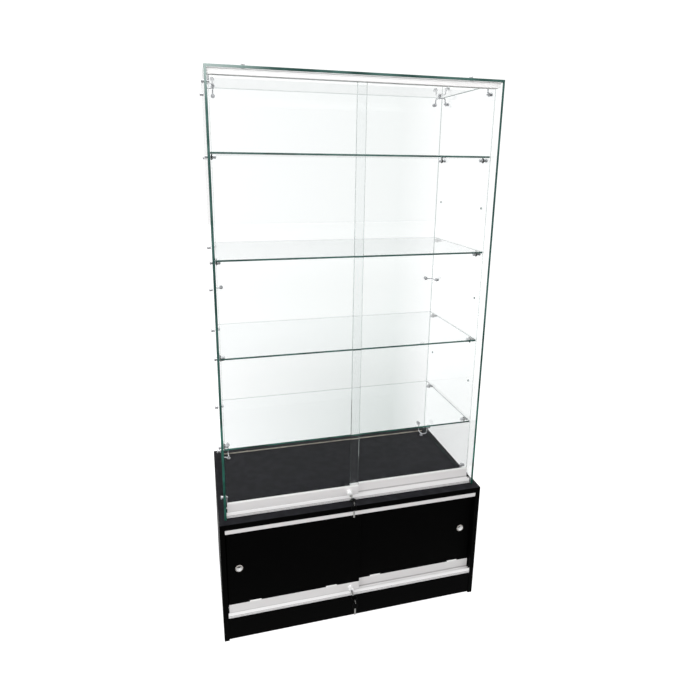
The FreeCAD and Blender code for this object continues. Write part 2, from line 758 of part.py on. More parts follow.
def lock_core(nose):
    core = rod(nose, Y_AXIS, CORE_R, CORE_LENGTH)
    half_width = KEY_BLADE_WIDTH / 2 + KEY_FIT
    half_thick = KEY_BLADE_THICK / 2 + KEY_FIT
    slot_start = nose - Vector(half_width, 0, half_thick)
    return core.cut(Part.makeBox(2 * half_width, KEY_INSERTED + KEY_FIT, 2 * half_thick, slot_start))


def key():
    """A key lying flat: its point at the origin, its blade, bow and eyelet along -Y."""
    half = KEY_BLADE_WIDTH / 2
    bow_y = -KEY_BLADE - BOW_R
    outline = [(0, 0), (half, -KEY_POINT), (half, bow_y), (-half, bow_y), (-half, -KEY_POINT)]
    points = [Vector(x, y, -KEY_BLADE_THICK / 2) for x, y in outline]
    blade = Part.Face(Part.makePolygon(points + points[:1])).extrude(Z_AXIS * KEY_BLADE_THICK)
    bow = rod(Vector(0, bow_y, -BOW_THICK / 2), Z_AXIS, BOW_R, BOW_THICK)
    bow = bow.makeFillet(BOW_ROUND, [edge for edge in bow.Edges if edge.Closed])
    tip_y = bow_y - BOW_R - EYELET_REACH
    hole_front = tip_y + EYELET_BAR
    hole_back = hole_front + EYELET_HOLE_LENGTH
    loop_half = EYELET_HOLE_WIDTH / 2 + EYELET_BAR
    loop = block(-loop_half, loop_half, tip_y, hole_back, -EYELET_BAR / 2, EYELET_BAR / 2)
    corners = [e for e in loop.Edges if abs(e.CenterOfMass.z) < 0.001 and e.CenterOfMass.y < hole_front]
    loop = loop.makeFillet(EYELET_BAR, corners)
    hole_half = EYELET_HOLE_WIDTH / 2
    hole = block(-hole_half, hole_half, hole_front, hole_back, -BOW_THICK / 2, BOW_THICK / 2)
    hole = hole.makeFillet(EYELET_BAR, [e for e in hole.Edges if abs(e.CenterOfMass.z) < 0.001])
    return bow.fuse([loop, blade]).removeSplitter().cut(hole)


def lock_set(storey):
    door = Door(storey, "left")
    face = Vector(door.lock_x, door.rail_front, door.lock_z)
    nose = face - Y_AXIS * (HOUSING_LENGTH + PLUNGER_OUT)
    save(storey + "_lock_housing", lock_housing(face))
    save(storey + "_lock_plunger", lock_plunger(face))
    save(storey + "_lock_core", lock_core(nose))
    held = key()
    held.translate(nose + Y_AXIS * KEY_INSERTED)
    save(storey + "_key", held)
    key_length = KEY_BLADE + 2 * BOW_R + EYELET_REACH
    bar_y = nose.y + KEY_INSERTED - key_length + EYELET_BAR / 2
    ring_inner = RING_R - RING_WIRE_R
    ring_z = door.lock_z + EYELET_BAR / 2 + RING_SLACK - ring_inner
    ring_centre = Vector(door.lock_x, bar_y, ring_z)
    save(storey + "_key_ring", Part.makeTorus(RING_R, RING_WIRE_R, ring_centre, X_AXIS))
    spare = key()
    spare.rotate(Vector(0, 0, 0), X_AXIS, -90)
    bar_seat = ring_z - math.sqrt(ring_inner ** 2 - (EYELET_BAR / 2) ** 2) + SPARE_SLACK
    spare.translate(Vector(door.lock_x, bar_y, bar_seat + EYELET_BAR - key_length))
    save(storey + "_spare_key", spare)


def main():
    os.makedirs("parts", exist_ok=True)
    base_boards()
    glass_panels()
    glass_bolts()
    shelf_studs()
    connectors()
    tracks()
    for hand in ("left", "right"):
        glass_door(Door("upper", hand))
        board_door(Door("lower", hand))
    for storey in ("upper", "lower"):
        lock_set(storey)


main()
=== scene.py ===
# %% [markdown]
# # An upright glass display case
#
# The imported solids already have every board, pane, rail and lock at its real size. This lesson dresses
# them: it gives each one a procedural finish, adds the small fittings that solids leave out, and sets the
# camera, the floor and the light. Nothing of the frame is moved, because the joints rely on it.

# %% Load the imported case
import json
import math

import bmesh
import bpy
from mathutils import Matrix, Vector


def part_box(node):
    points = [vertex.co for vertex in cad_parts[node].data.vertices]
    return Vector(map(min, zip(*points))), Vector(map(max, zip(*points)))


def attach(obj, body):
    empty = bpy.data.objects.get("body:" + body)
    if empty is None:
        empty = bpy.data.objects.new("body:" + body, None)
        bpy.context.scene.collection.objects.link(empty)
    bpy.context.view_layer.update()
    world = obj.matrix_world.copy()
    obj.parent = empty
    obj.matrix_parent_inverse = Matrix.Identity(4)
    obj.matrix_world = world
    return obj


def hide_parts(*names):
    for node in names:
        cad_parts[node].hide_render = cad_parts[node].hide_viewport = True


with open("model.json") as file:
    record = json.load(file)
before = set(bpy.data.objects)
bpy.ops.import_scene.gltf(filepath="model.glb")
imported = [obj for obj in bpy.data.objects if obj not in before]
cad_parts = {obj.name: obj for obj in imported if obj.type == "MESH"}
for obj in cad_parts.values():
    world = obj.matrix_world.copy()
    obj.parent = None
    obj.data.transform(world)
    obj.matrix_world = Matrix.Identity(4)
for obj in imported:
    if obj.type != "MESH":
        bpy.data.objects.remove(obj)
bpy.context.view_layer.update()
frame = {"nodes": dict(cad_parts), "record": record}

nodes = frame["nodes"]

# %% [markdown]
# Every finish below is a small tree of shader nodes. Three helpers keep the trees short: one turns a colour
# that can be picked on a screen (sRGB hex) into the linear numbers that light is added up in, one adds a
# node together with its settings and links, and one starts a material with an empty tree. With these a
# material reads like a recipe, from the pattern to the shader. A fourth helper puts materials on a solid.

# %% Colour and node helpers
def linear(hex_colour):
    channels = [int(hex_colour[i:i + 2], 16) / 255 for i in (1, 3, 5)]
    return [c / 12.92 if c <= 0.04045 else ((c + 0.055) / 1.055) ** 2.4 for c in channels] + [1.0]


def add(tree, kind, inputs=None, **settings):
    """Adds a node. An input is a value, a hex colour, an output socket, or a node, for its first output."""
    node = tree.nodes.new(kind)
    for name, value in settings.items():
        setattr(node, name, value)
    for name, value in (inputs or {}).items():
        if isinstance(value, bpy.types.Node):
            value = next(socket for socket in value.outputs if socket.enabled)
        if isinstance(value, bpy.types.NodeSocket):
            tree.links.new(value, node.inputs[name])
        else:
            node.inputs[name].default_value = linear(value) if isinstance(value, str) else value
    return node


def new_material(name):
    material = bpy.data.materials.new(name)
    material.use_nodes = True
    material.node_tree.nodes.clear()
    return material, material.node_tree


def show(tree, shader):
    add(tree, "ShaderNodeOutputMaterial", {"Surface": shader})


def dress(name, *materials):
    """Gives a solid these materials in place of its own, and returns its mesh."""
    mesh = nodes[name].data
    mesh.materials.clear()
    for material in materials:
        mesh.materials.append(material)
    return mesh


print("white is", linear("#ffffff")[:3])

# %% [markdown]
# The base is chipboard with a black melamine face. A press plate leaves a fine pebble in the face, so it
# takes a broad sheen and never a sharp reflection. The pebble is about half a millimetre across on the real
# board and is drawn at 1.6 mm, because anything finer is lost between pixels. A shop's deck is never quite
# clean, so a few pale specks of dust, one to a hand's breadth, lie on it: they are the centres of the cells
# of a Voronoi pattern. Under them the face is mottled where goods have worn it, in soft patches of
# about 30 mm. All the boards are the same black melamine, with light and shade painted into it: the top
# of the deck gets a lighter charcoal colour as painted light from the sky, and the upright boards and the
# edges of the deck get a near-black colour as painted shade from the dark room.

# %% Black melamine boards
PEBBLE_MM, CLOUD_MM, DUST_MM, MOTTLE_MM = 1.6, 140, 75, 30
SPECK = (0.010, 0.018)  # a speck's core and rim, as shares of a cell


def per_metre(millimetres):
    """The scale of a pattern in Object coordinates, which are metres, for a feature of this size."""
    return 1000.0 / millimetres


def dusty(tree, place, face):
    mottle = add(tree, "ShaderNodeTexNoise", {"Vector": place, "Scale": per_metre(MOTTLE_MM), "Detail": 1.0})
    grey = add(tree, "ShaderNodeMapRange", {
        "Value": mottle, "From Min": 0.38, "From Max": 0.68, "To Min": 0.0, "To Max": 0.1,
    })
    worn = add(tree, "ShaderNodeMix", {"Factor": grey, "A": face, "B": "#44444c"}, data_type="RGBA")
    cells = add(tree, "ShaderNodeTexVoronoi", {"Vector": place, "Scale": per_metre(DUST_MM)})
    speck = add(tree, "ShaderNodeMapRange", {
        "Value": cells.outputs["Distance"], "From Min": SPECK[0], "From Max": SPECK[1],
        "To Min": 0.5, "To Max": 0.0,
    })
    return add(tree, "ShaderNodeMix", {"Factor": speck, "A": worn, "B": "#8c8a86"}, data_type="RGBA")


def melamine(name, colour, roughness, sheen, dust):
    material, tree = new_material(name)
    place = add(tree, "ShaderNodeTexCoord").outputs["Object"]
    pebble = add(tree, "ShaderNodeTexNoise", {"Vector": place, "Scale": per_metre(PEBBLE_MM), "Detail": 2.0})
    relief = add(tree, "ShaderNodeBump", {"Height": pebble, "Strength": 0.12, "Distance": 0.0002})
    cloud = add(tree, "ShaderNodeTexNoise", {"Vector": place, "Scale": per_metre(CLOUD_MM), "Detail": 3.0})
    spread = add(tree, "ShaderNodeMapRange", {
        "Value": cloud, "From Min": 0.3, "From Max": 0.7,
        "To Min": roughness - 0.05, "To Max": roughness + 0.06,
    })
    darker, lighter = ([share * c for c in linear(colour)[:3]] + [1.0] for share in (0.85, 1.15))
    face = add(tree, "ShaderNodeMix", {"Factor": cloud, "A": darker, "B": lighter}, data_type="RGBA")
    show(tree, add(tree, "ShaderNodeBsdfPrincipled", {
        "Base Color": dusty(tree, place, face) if dust else face, "Roughness": spread, "Normal": relief,
        "IOR": 1.5, "Specular IOR Level": sheen,
    }))
    return material


# Painted light and shade: a lighter charcoal copy of the black melamine for the deck top, a near-black copy
# for the rest.
deck_top_painted_light_melamine = melamine("black_melamine_top_painted_light", "#1b1b1e", 0.45, 0.04, dust=True)
board_painted_shade_melamine = melamine("black_melamine_painted_shade", "#030303", 0.5, 0.05, dust=False)
for name in ("base_side_left", "base_side_right", "base_bottom", "base_back", "kickboard",
             "lower_left_panel", "lower_right_panel"):
    dress(name, board_painted_shade_melamine)
# Only the deck's top face gets the painted light copy; its edges get the painted shade copy.
for face in dress("base_deck", deck_top_painted_light_melamine, board_painted_shade_melamine).polygons:
    face.material_index = 0 if face.normal.z > 0.9 else 1
print("boards:", deck_top_painted_light_melamine.name, board_painted_shade_melamine.name)

# %% [markdown]
# Float glass looks clear through its face and dark green through its edge, because light that leaves by the
# edge has run along the pane through a metre of faintly green glass. A volume could do that, but it is slow
# and noisy. Here the two broad faces of a pane are clear, and lamps pass straight through them, so that
# what stands in the case is lit. The back glass carries painted shade: a faint grey-green that stands for the
# shade on the floor and wall behind the case, growing towards the right and towards its foot, and fading
# out just short of its right edge.

# %% Clear glass
CLEAR = "#feffff"
PAINTED_SHADE_START, PAINTED_SHADE_FULL = -0.42, 0.35  # the painted shade along the width of the case, in metres
# where the painted shade fades out, just short of the right edge of the pane
PAINTED_SHADE_FADE_FROM, PAINTED_SHADE_FADE_TO = 0.3, 0.46
PAINTED_SHADE_TOP, PAINTED_SHADE_FOOT = 1.3, 0.6  # and up its height


# Painted shade on the back glass: grey-green growing to the right and towards the foot.
def painted_backdrop_shade(tree):
    place = add(tree, "ShaderNodeTexCoord").outputs["Object"]
    axis = add(tree, "ShaderNodeSeparateXYZ", {"Vector": place}).outputs
    right = add(tree, "ShaderNodeMapRange", {
        "Value": axis["X"], "From Min": PAINTED_SHADE_START, "From Max": PAINTED_SHADE_FULL,
    })
    rim = add(tree, "ShaderNodeMapRange", {
        "Value": axis["X"], "From Min": PAINTED_SHADE_FADE_FROM, "From Max": PAINTED_SHADE_FADE_TO, "To Min": 1.0, "To Max": 0.0,
    })
    foot = add(tree, "ShaderNodeMapRange", {
        "Value": axis["Z"], "From Min": PAINTED_SHADE_TOP, "From Max": PAINTED_SHADE_FOOT, "To Min": 0.5, "To Max": 1.0,
    })
    strip = add(tree, "ShaderNodeMath", {0: right, 1: rim}, operation="MULTIPLY")
    shade_amount = add(tree, "ShaderNodeMath", {0: strip, 1: foot}, operation="MULTIPLY")
    return add(tree, "ShaderNodeMix", {"Factor": shade_amount, "A": CLEAR, "B": "#e4e9e7"}, data_type="RGBA")


def clear_glass(name, with_painted_shade):
    material, tree = new_material(name)
    pane = add(tree, "ShaderNodeBsdfPrincipled", {
        "Base Color": painted_backdrop_shade(tree) if with_painted_shade else CLEAR, "Roughness": 0.0, "IOR": 1.46,
        "Transmission Weight": 1.0, "Specular IOR Level": 0.06,
    })
    through = add(tree, "ShaderNodeBsdfTransparent", {"Color": "#fdfefe"})
    path = add(tree, "ShaderNodeLightPath").outputs
    rays = {0: path["Is Shadow Ray"], 1: path["Is Diffuse Ray"]}
    lighting = add(tree, "ShaderNodeMath", rays, operation="MAXIMUM")
    show(tree, add(tree, "ShaderNodeMixShader", {"Fac": lighting, 1: pane, 2: through}))
    return material


glass_face = clear_glass("clear_float_glass", with_painted_shade=False)
# The back glass gets the painted shade.
back_glass_painted_shade_face = clear_glass("wiped_float_glass", with_painted_shade=True)
print("glass faces:", glass_face.name, back_glass_painted_shade_face.name)

# %% [markdown]
# Every other face of a pane, that is its edge and its drilled holes, has one of two finishes. A ground edge
# is a deep green in random patches, with light and shade painted into it: it is greyer at the top as painted
# light and deeper towards the black base as painted shade, and palest in the upper left corner as a painted
# highlight. The doors and the back glass have polished edges that are seen end on: those only
# dim what is behind them, so they are a grey tint with a little gloss.

# %% Ground and polished glass edges
PATCH_MM, TINT_MM = 80, 60
EDGE_SHADE_FROM, EDGE_SHADE_TO = 1.1, 0.65  # heights in metres between which the green deepens as painted shade
# where the painted highlight in the upper left corner lies, across and up
EDGE_HIGHLIGHT_LEFT = (-0.47, -0.28)
EDGE_HIGHLIGHT_TOP = (1.87, 1.97)


def ground_edge(name, top_painted_light_tints, foot_painted_shade_tints, pale):
    material, tree = new_material(name)
    place = add(tree, "ShaderNodeTexCoord").outputs["Object"]
    axis = add(tree, "ShaderNodeSeparateXYZ", {"Vector": place}).outputs
    cloud = add(tree, "ShaderNodeTexNoise", {"Vector": place, "Scale": per_metre(PATCH_MM), "Detail": 2.0})
    patch = add(tree, "ShaderNodeMapRange", {"Value": cloud, "From Min": 0.36, "From Max": 0.66})
    high, low = (
        add(tree, "ShaderNodeMix", {"Factor": patch, "A": dark, "B": light}, data_type="RGBA")
        for dark, light in (top_painted_light_tints, foot_painted_shade_tints)
    )
    # Painted shade: the colour goes from the greyer top tints to the deeper foot tints by height.
    deep = add(tree, "ShaderNodeMapRange", {"Value": axis["Z"], "From Min": EDGE_SHADE_FROM, "From Max": EDGE_SHADE_TO})
    green = add(tree, "ShaderNodeMix", {"Factor": deep, "A": high, "B": low}, data_type="RGBA")
    # Painted highlight: the pale colour is mixed in at the upper left corner.
    left = add(tree, "ShaderNodeMapRange", {
        "Value": axis["X"], "From Min": EDGE_HIGHLIGHT_LEFT[0], "From Max": EDGE_HIGHLIGHT_LEFT[1], "To Min": 0.6, "To Max": 0.0,
    })
    up = add(tree, "ShaderNodeMapRange", {
        "Value": axis["Z"], "From Min": EDGE_HIGHLIGHT_TOP[0], "From Max": EDGE_HIGHLIGHT_TOP[1],
    })
    corner = add(tree, "ShaderNodeMath", {0: left, 1: up}, operation="MULTIPLY")
    colour = add(tree, "ShaderNodeMix", {"Factor": corner, "A": green, "B": pale}, data_type="RGBA")
    show(tree, add(tree, "ShaderNodeBsdfPrincipled", {
        "Base Color": colour, "Roughness": 0.28, "IOR": 1.5, "Specular IOR Level": 0.2,
    }))
    return material


def polished_edge():
    material, tree = new_material("polished_glass_edge")
    place = add(tree, "ShaderNodeTexCoord").outputs["Object"]
    cloud = add(tree, "ShaderNodeTexNoise", {"Vector": place, "Scale": per_metre(TINT_MM), "Detail": 2.0})
    tint = add(tree, "ShaderNodeMix", {"Factor": cloud, "A": "#c6cccb", "B": "#e0e4e3"}, data_type="RGBA")
    through = add(tree, "ShaderNodeBsdfTransparent", {"Color": tint})
    gloss = add(tree, "ShaderNodeBsdfPrincipled", {
        "Base Color": "#9aa5a2", "Roughness": 0.2, "IOR": 1.5, "Specular IOR Level": 0.3,
    })
    show(tree, add(tree, "ShaderNodeMixShader", {"Fac": 0.1, 1: through, 2: gloss}))
    return material


def thin_axis(size):
    return min(range(3), key=lambda i: size[i])


glass_edge = ground_edge("ground_glass_edge", ("#223d38", "#3f5d57"), ("#07291f", "#2d6357"), "#b4c1be")
thin_edge = polished_edge()
panes = [n for n in nodes if n.startswith("glass_") and n != "glass_bolts"]
panes += ["upper_left_glass", "upper_right_glass"]
for name in panes:
    low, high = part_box(name)
    across = thin_axis(high - low)
    polished = name.endswith("back") or name.startswith("upper_")
    mesh = dress(name, back_glass_painted_shade_face if name == "glass_back" else glass_face, glass_edge, thin_edge)
    for face in mesh.polygons:
        rear = face.normal.y > 0.5
        face.material_index = 0 if abs(face.normal[across]) > 0.99 else 2 if polished or rear else 1
print("panes:", len(panes))

# %% [markdown]
# The tracks and rails are extruded aluminium. The die leaves faint lines along the length, and anodising
# keeps them and dulls the mirror, so the metal shows long soft streaks. A noise that is squeezed across the
# bar and stretched along it draws those lines, 0.8 mm apart, in both roughness and relief. The fronts of
# the tracks have two grooves, about half a pixel wide in the picture: their faces are picked by place and
# get a darker colour, painted shade, so that the ribs between them can be told apart, and the other faces
# of those tracks get a lighter copy of the metal, a painted highlight. The top track is seen from below, and
# its underside gets the same painted shade. Along each rail, just behind the lip of its track, a grey band
# is painted in as the shade of the gap between rail and track.

# %% Anodised aluminium
DIE_LINE_MM = 0.8
GROOVE_FOOT = 0.001  # above the foot of a track, in metres
GROOVE_SKIN, GROOVE_REACH = 0.0002, 0.0015  # behind its front
RAIL_SHADE_DROP, RAIL_SHADE_HALF = 0.002, 0.0025  # the painted shade band on a rail, below the lip of a track, in metres
TRACK_TOPS = [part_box(name)[1].z for name in ("case_bottom_track", "base_bottom_track")]


# Paints a grey band on a rail just below the lip of each track: painted shade of the gap to the track.
def rail_shade_band(tree, place, colour, rail_shade_colour):
    height = add(tree, "ShaderNodeSeparateXYZ", {"Vector": place}).outputs["Z"]
    upper, lower = (
        add(tree, "ShaderNodeMath", {0: height, 1: top - RAIL_SHADE_DROP, 2: RAIL_SHADE_HALF}, operation="COMPARE")
        for top in TRACK_TOPS
    )
    either = add(tree, "ShaderNodeMath", {0: upper, 1: lower}, operation="ADD")
    return add(tree, "ShaderNodeMix", {"Factor": either, "A": colour, "B": rail_shade_colour}, data_type="RGBA")


def anodised(name, colour, metallic, rail_shade_colour=None):
    material, tree = new_material(name)
    place = add(tree, "ShaderNodeTexCoord").outputs["Object"]
    drawn = add(tree, "ShaderNodeMapping", {"Vector": place, "Scale": (0.01, 1.0, 1.0)})
    lines = add(tree, "ShaderNodeTexNoise", {"Vector": drawn, "Scale": per_metre(DIE_LINE_MM), "Detail": 3.0})
    dull = add(tree, "ShaderNodeMapRange", {
        "Value": lines, "From Min": 0.3, "From Max": 0.7, "To Min": 0.34, "To Max": 0.5,
    })
    relief = add(tree, "ShaderNodeBump", {"Height": lines, "Strength": 0.15, "Distance": 0.0002})
    show(tree, add(tree, "ShaderNodeBsdfPrincipled", {
        "Base Color": rail_shade_band(tree, place, colour, rail_shade_colour) if rail_shade_colour else colour, "Metallic": metallic,
        "Roughness": dull, "Normal": relief,
    }))
    return material


# The rail metal carries the painted shade band; the lighter copy is painted highlight, the darker copy
# painted shade.
aluminium = anodised("anodised_aluminium", "#dcdada", 0.2, rail_shade_colour="#b0aeae")
highlight_aluminium = anodised("anodised_aluminium_painted_highlight", "#ebeaea", 0.1)
groove_shade_aluminium = anodised("anodised_aluminium_painted_shade", "#8e8c8d", 0.2)
bars = [n for n in nodes if n.endswith(("_track", "_rail"))]
for name in bars:
    low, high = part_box(name)
    middle = (low.z + high.z) / 2
    plain = name.endswith("_rail") or name == "base_top_track"
    for face in dress(name, aluminium, highlight_aluminium, groove_shade_aluminium).polygons:
        place = face.center
        front = low.y + GROOVE_SKIN < place.y < low.y + GROOVE_REACH
        painted_shade_face = front and low.z + GROOVE_FOOT < place.z < middle
        # Groove faces, and the whole underside of the top track, get painted shade; other faces of those
        # tracks the painted highlight.
        if name == "case_top_track":
            painted_shade_face = face.normal.z < -0.5
        face.material_index = 0 if plain else 2 if painted_shade_face else 1
print("bars:", len(bars))

# %% [markdown]
# Small fittings: chrome on the bolts, studs, connectors, pulls and locks, plain steel on the ring and the
# key blades, and three plastics. Chrome is nearly a mirror; a faint cloud in its roughness keeps it from
# looking computed, and what hands and years have dulled is a little less of a mirror. The flange of a finger
# pull is worn and the floor of its cup is still bright. The wall of the cup and the barrels of the locks get
# a white, mostly non-metal copy of chrome, a painted highlight that makes them read as brightly lit. Moulded
# plastic has a fine spark-eroded grain, here 0.7 mm.

# %% Chrome, steel and plastics
GRAIN_MM = 0.7
CUP_RADIUS = 0.0108


def metal(name, colour, metallic, low, high, cloud_mm):
    material, tree = new_material(name)
    place = add(tree, "ShaderNodeTexCoord").outputs["Object"]
    cloud = add(tree, "ShaderNodeTexNoise", {"Vector": place, "Scale": per_metre(cloud_mm), "Detail": 3.0})
    dull = add(tree, "ShaderNodeMapRange", {
        "Value": cloud, "From Min": 0.3, "From Max": 0.7, "To Min": low, "To Max": high,
    })
    show(tree, add(tree, "ShaderNodeBsdfPrincipled", {
        "Base Color": colour, "Metallic": metallic, "Roughness": dull,
    }))
    return material


def moulded(name, colour, roughness, sheen):
    material, tree = new_material(name)
    place = add(tree, "ShaderNodeTexCoord").outputs["Object"]
    grain = add(tree, "ShaderNodeTexNoise", {"Vector": place, "Scale": per_metre(GRAIN_MM), "Detail": 1.0})
    relief = add(tree, "ShaderNodeBump", {"Height": grain, "Strength": 0.1, "Distance": 0.0001})
    show(tree, add(tree, "ShaderNodeBsdfPrincipled", {
        "Base Color": colour, "Roughness": roughness, "Normal": relief, "IOR": 1.49,
        "Specular IOR Level": sheen,
    }))
    return material


chrome = metal("bright_chrome", "#f4f4f4", 1.0, 0.05, 0.14, 12)
worn_chrome = metal("worn_chrome", "#ebe4de", 0.75, 0.12, 0.24, 12)
# A white, mostly non-metal copy of chrome: a painted highlight.
highlight_chrome = metal("highlight_chrome", "#ffffff", 0.3, 0.2, 0.32, 12)
smoky_chrome = metal("smoky_chrome", "#cfcfd2", 0.72, 0.1, 0.2, 12)
steel = metal("nickelled_steel", "#a9a9a6", 0.5, 0.25, 0.4, 6)
pale_plastic = moulded("pale_grey_vinyl", "#e6e6e4", 0.5, 0.5)
nylon = moulded("white_nylon", "#f0efea", 0.45, 0.5)
black_plastic = moulded("black_abs", "#020202", 0.35, 0.12)
black_rubber = moulded("black_rubber", "#050505", 0.7, 0.2)
finish_of = {"chrome": chrome, "steel": steel, "grey_plastic": pale_plastic, "white_nylon": nylon,
             "black_plastic": black_plastic}
for entry in frame["record"]["subparts"]:
    if entry["material_slot"] in finish_of:
        dress(entry["node"], finish_of[entry["material_slot"]])
for name in ("shelf_studs", "connector_rods", "glass_bolts"):
    dress(name, smoky_chrome)
for name in ("lower_left_pull", "lower_right_pull"):
    low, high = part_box(name)
    axis = (low + high) / 2
    # Flange worn chrome, cup floor mirror chrome, cup wall the painted highlight copy.
    for face in dress(name, worn_chrome, chrome, highlight_chrome).polygons:
        radius = math.hypot(face.center.x - axis.x, face.center.z - axis.z)
        if radius < CUP_RADIUS:
            face.material_index = 1 if abs(face.normal.y) > 0.5 else 2
# The lock barrels get the painted highlight copy of chrome.
for name in ("upper_lock_housing", "lower_lock_housing"):
    dress(name, highlight_chrome)
print("small fittings:", sorted(m.name for m in finish_of.values()))

# %% [markdown]
# A key is a steel blade moulded into a black bow, and both are one solid here. The blade is a known length,
# so its faces can be picked by where their centres lie: along the depth for the key in the lock, and along
# the height for the spare that hangs from it.

# %% Steel blades on the keys
KEY_BLADE = 0.029
for storey in ("upper", "lower"):
    for name, axis, blade_high in ((storey + "_key", 1, True), (storey + "_spare_key", 2, False)):
        low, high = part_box(name)
        for face in dress(name, black_plastic, steel).polygons:
            place = face.center[axis]
            blade = place > high[axis] - KEY_BLADE if blade_high else place < low[axis] + KEY_BLADE
            face.material_index = 1 if blade else 0
print("keys have steel blades of", KEY_BLADE * 1000, "mm")

# %% [markdown]
# Each shelf stud is a chrome peg with a soft black ring in its middle, which keeps the shelf from sliding
# and from touching metal. Peg and ring are one solid too, and the ring is the part that lies between two
# planes, the same distance from the middle of the case on either side.

# %% Rubber rings on the shelf studs
SIDE_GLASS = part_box("glass_side_right")[0].x
RING_PLANES = (SIDE_GLASS - 0.0086, SIDE_GLASS - 0.0044)
studs = dress("shelf_studs", smoky_chrome, black_rubber)
for face in studs.polygons:
    face.material_index = 1 if RING_PLANES[0] < abs(face.center.x) < RING_PLANES[1] else 0
print("stud faces in rubber:", sum(face.material_index for face in studs.polygons))

# %% [markdown]
# Some fittings are too small for the solids. A helper turns a finished bmesh into an object that rides on a
# body of the case and gives it the finish it is handed. The first is the bead of clear silicone
# that beds the back glass on the deck: a three-sided strip along the foot of the pane whose open corners
# are rounded off. On the black deck it shows as a thin pale line.

# %% Silicone bead under the back glass
def fitting(form, name, body, material):
    bmesh.ops.recalc_face_normals(form, faces=form.faces)
    mesh = bpy.data.meshes.new(name)
    form.to_mesh(mesh)
    form.free()
    mesh.materials.append(material)
    piece = bpy.data.objects.new(name, mesh)
    bpy.context.scene.collection.objects.link(piece)
    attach(piece, body)
    return piece


def soften(form, edges, radius, segments=3):
    bmesh.ops.bevel(form, geom=edges, offset=radius, affect="EDGES", segments=segments, profile=0.5,
                    material=-1)


def length_along_x(edge):
    return abs(edge.verts[0].co.x - edge.verts[1].co.x)


def silicone():
    material, tree = new_material("clear_silicone")
    place = add(tree, "ShaderNodeTexCoord").outputs["Object"]
    uneven = add(tree, "ShaderNodeTexNoise", {
        "Vector": place, "Scale": per_metre(BEAD_CLOUD_MM), "Detail": 2.0,
    })
    tint = add(tree, "ShaderNodeMix", {"Factor": uneven, "A": "#4d4842", "B": "#a39b8f"}, data_type="RGBA")
    show(tree, add(tree, "ShaderNodeBsdfPrincipled", {"Base Color": tint, "Roughness": 0.3, "IOR": 1.41}))
    return material


BEAD = 0.004
BEAD_ROUND = 0.0007
BEAD_CLOUD_MM = 25
END_GAP = 0.012
pane_low, pane_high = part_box("glass_back")
form = bmesh.new()
corner = Vector((pane_low.x + END_GAP, pane_low.y, pane_low.z))
profile = [form.verts.new(corner + Vector(step)) for step in ((0, 0, 0), (0, -BEAD, 0), (0, 0, BEAD))]
face = form.faces.new(profile)
run = bmesh.ops.extrude_face_region(form, geom=[face])
moved = [v for v in run["geom"] if isinstance(v, bmesh.types.BMVert)]
bmesh.ops.translate(form, verts=moved, vec=(pane_high.x - pane_low.x - 2 * END_GAP, 0, 0))
long_edges = [e for e in form.edges if length_along_x(e) > 0.1]
outer = [e for e in long_edges if (e.verts[0].co.yz - corner.yz).length > 0.001]
soften(form, outer, BEAD_ROUND, 2)
bead = fitting(form, "silicone_bead", "case", silicone())
print("bead:", round(bead.dimensions.x, 3), "m long")

# %% [markdown]
# A sliding door needs something soft to close against. A rubber buffer is stuck to each side of the case in
# the line of each channel, just clear of the closed door. It starts as a cube that is scaled to a slim
# block; its corners are rounded, and the face that meets the door gets a shallow step, as on a moulded one.

# %% Rubber door buffers
BUFFER = Vector((0.0036, 0.010, 0.022))
BUFFER_CORNER, BUFFER_ROUND = 0.002, 0.0004
BUFFER_LIP, BUFFER_STEP = 0.0016, 0.0006
BUFFER_FOOT = 0.003  # above the foot of the rail
DOOR_CLEAR = 0.0003
buffers = []
for storey in ("upper", "lower"):
    for hand, side in (("left", -1.0), ("right", 1.0)):
        rail_low, rail_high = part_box(storey + "_" + hand + "_rail")
        end = rail_high.x if side > 0 else -rail_low.x
        centre = Vector((
            side * (end + DOOR_CLEAR + BUFFER.x / 2),
            (rail_low.y + rail_high.y) / 2,
            rail_low.z + BUFFER.z / 2 + BUFFER_FOOT,
        ))
        form = bmesh.new()
        bmesh.ops.create_cube(form, size=1.0)
        bmesh.ops.scale(form, verts=form.verts, vec=BUFFER)
        soften(form, [e for e in form.edges if length_along_x(e) > 0.001], BUFFER_CORNER)
        soften(form, form.edges[:], BUFFER_ROUND, 2)
        meeting = max(form.faces, key=lambda f: -side * f.calc_center_median().x + f.calc_area())
        bmesh.ops.inset_region(form, faces=[meeting], thickness=BUFFER_LIP, depth=-BUFFER_STEP)
        bmesh.ops.translate(form, verts=form.verts, vec=centre)
        buffers.append(fitting(form, storey + "_" + hand + "_buffer", "case", black_rubber))
print("buffers:", len(buffers))

# %% [markdown]
# A split ring is two turns of flat-ended wire, not one plain hoop. A small circle is spun twice round the
# ring's axis while it climbs by one thickness of wire a turn, and its two ends are closed. Both turns
# follow the middle of the plain hoop of the solids, which leaves the keys room to turn. That hoop stays for
# the physics and is hidden.

